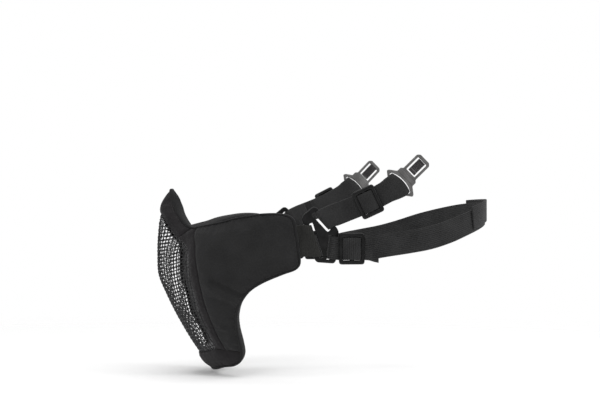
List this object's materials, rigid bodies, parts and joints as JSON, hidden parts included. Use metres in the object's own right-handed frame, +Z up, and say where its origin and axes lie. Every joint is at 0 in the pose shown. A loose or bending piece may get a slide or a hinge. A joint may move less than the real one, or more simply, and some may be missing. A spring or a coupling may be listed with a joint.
{
  "type": "wire mesh face mask",
  "caption": "Lower-face protective mask with a formed wire-mesh front, padded cloth frame and cheek wings, strap rings, helmet straps with rail clips and an elastic rear strap.",
  "frame": {"origin": "the wearer's lips, on the mask's mid-plane, where the mask seats on the face", "axes": "+Z up, -Y out of the face, +X to the wearer's left"},
  "size_m": [0.1868, 0.283, 0.1799],
  "materials": {
    "wire": "black coated steel wire, satin",
    "frame_cloth": "woven polyester, matt",
    "cheek_cloth": "woven polyester, matt",
    "foam": "open cell foam",
    "lining": "soft knitted lining, matt",
    "binding": "folded woven tape, matt",
    "webbing": "twill webbing",
    "elastic": "ribbed elastic",
    "plastic": "moulded, satin",
    "clip": "moulded, satin grey"
  },
  "bodies": {
    "mask": {"wire_face": "wire", "nose_cover": "frame_cloth", "chin_cover": "frame_cloth", "left_mesh_border": "frame_cloth", "right_mesh_border": "frame_cloth", "left_cheek_cover": "cheek_cloth", "right_cheek_cover": "cheek_cloth", "nose_foam": "foam", "chin_foam": "foam", "left_cheek_foam": "foam", "right_cheek_foam": "foam", "nose_lining": "lining", "chin_lining": "lining", "left_cheek_lining": "lining", "right_cheek_lining": "lining", "edge_binding": "binding", "left_tab": "webbing", "right_tab": "webbing"},
    "left_ring": {"left_ring": "plastic"},
    "right_ring": {"right_ring": "plastic"},
    "rear_strap": {"rear_strap": "elastic", "rear_strap_overlap": "elastic"},
    "left_helmet_strap": {"left_helmet_strap": "elastic"},
    "left_helmet_slider": {"left_helmet_slider": "plastic", "left_helmet_slider_thread": "elastic"},
    "left_rear_slider": {"left_rear_slider": "plastic", "left_rear_slider_thread": "elastic"},
    "left_rail_clip": {"left_rail_clip": "clip"},
    "left_clip_latch": {"left_clip_latch": "clip"},
    "right_helmet_strap": {"right_helmet_strap": "elastic"},
    "right_helmet_slider": {"right_helmet_slider": "plastic", "right_helmet_slider_thread": "elastic"},
    "right_rear_slider": {"right_rear_slider": "plastic", "right_rear_slider_thread": "elastic"},
    "right_rail_clip": {"right_rail_clip": "clip"},
    "right_clip_latch": {"right_clip_latch": "clip"}
  },
  "joints": [
    {"name": "left_ring_swing", "type": "hinge", "parent": "mask", "child": "left_ring", "pos_m": [0.073, 0.09072, 0.057], "axis": [0, -0.0935, 0.9956], "range_deg": [-5.5, 5.5]},
    {"name": "rear_strap_follow", "type": "hinge", "parent": "left_ring", "child": "rear_strap", "pos_m": [0.073, 0.10944, 0.04822], "axis": [0, -0.0935, 0.9956], "range_deg": [-5.5, 5.5]},
    {"name": "right_ring_swing", "type": "hinge", "parent": "mask", "child": "right_ring", "pos_m": [-0.073, 0.09072, 0.057], "axis": [0, -0.0935, 0.9956], "range_deg": [-5.5, 5.5]},
    {"name": "left_helmet_strap_swing", "type": "hinge", "parent": "left_ring", "child": "left_helmet_strap", "pos_m": [0.073, 0.10234, 0.07202], "axis": [0, 0.6812, -0.7321], "range_deg": [-15, 15]},
    {"name": "left_helmet_slider_slide", "type": "slide", "parent": "left_helmet_strap", "child": "left_helmet_slider", "axis": [0.2314, 0.8767, 0.4216], "range_m": [-0.008, 0.003]},
    {"name": "left_rear_slider_slide", "type": "slide", "parent": "rear_strap", "child": "left_rear_slider", "axis": [0, 1, 0], "range_m": [0, 0.005]},
    {"name": "left_rail_clip_swing", "type": "hinge", "parent": "left_helmet_strap", "child": "left_rail_clip", "pos_m": [0.088, 0.15934, 0.09852], "axis": [0, -0.7071, 0.7071], "range_deg": [-20, 20]},
    {"name": "left_clip_latch_press", "type": "hinge", "parent": "left_rail_clip", "child": "left_clip_latch", "pos_m": [0.09176, 0.1791, 0.11829], "axis": [0, -0.7071, 0.7071], "range_deg": [-6, 0], "stiffness_Nm_per_rad": 0.02},
    {"name": "right_helmet_strap_swing", "type": "hinge", "parent": "right_ring", "child": "right_helmet_strap", "pos_m": [-0.073, 0.10234, 0.07202], "axis": [0, -0.6812, 0.7321], "range_deg": [-15, 15]},
    {"name": "right_helmet_slider_slide", "type": "slide", "parent": "right_helmet_strap", "child": "right_helmet_slider", "axis": [-0.2314, 0.8767, 0.4216], "range_m": [-0.008, 0.003]},
    {"name": "right_rear_slider_slide", "type": "slide", "parent": "rear_strap", "child": "right_rear_slider", "axis": [0, 1, 0], "range_m": [0, 0.005]},
    {"name": "right_rail_clip_swing", "type": "hinge", "parent": "right_helmet_strap", "child": "right_rail_clip", "pos_m": [-0.088, 0.15934, 0.09852], "axis": [0, 0.7071, -0.7071], "range_deg": [-20, 20]},
    {"name": "right_clip_latch_press", "type": "hinge", "parent": "right_rail_clip", "child": "right_clip_latch", "pos_m": [-0.09176, 0.1791, 0.11829], "axis": [0, 0.7071, -0.7071], "range_deg": [-6, 0], "stiffness_Nm_per_rad": 0.02}
  ],
  "couplings": [
    {"joint": "rear_strap_follow", "follows": "left_ring_swing", "ratio": -1},
    {"joint": "right_ring_swing", "follows": "left_ring_swing", "ratio": 1}
  ]
}
